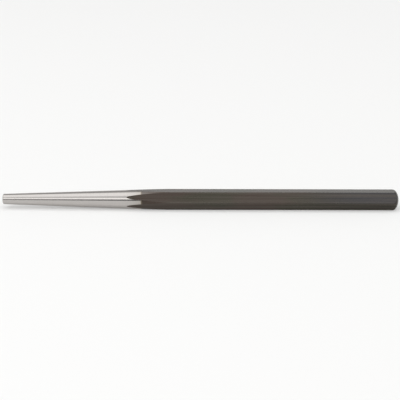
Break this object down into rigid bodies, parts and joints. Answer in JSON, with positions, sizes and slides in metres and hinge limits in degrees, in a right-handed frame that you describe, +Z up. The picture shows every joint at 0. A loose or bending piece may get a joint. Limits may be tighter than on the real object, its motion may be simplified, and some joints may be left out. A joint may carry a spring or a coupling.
{
  "type": "taper punch",
  "caption": "Solid steel line-up punch: hexagonal blackened bar with a long ground conical taper, a blunt flat tip and a crowned striking head.",
  "frame": {"origin": "on the bench surface, below the middle of the punch's length, with the punch lying on one of its six flats", "axes": "+X along the bar from the tip to the striking head, +Z up out of the bench, +Y across the corners of the hexagon"},
  "size_m": [0.3048, 0.0164, 0.0143],
  "materials": {
    "blackened_steel": "satin"
  },
  "bodies": {
    "root": {"taper_punch": "blackened_steel"}
  },
  "joints": []
}
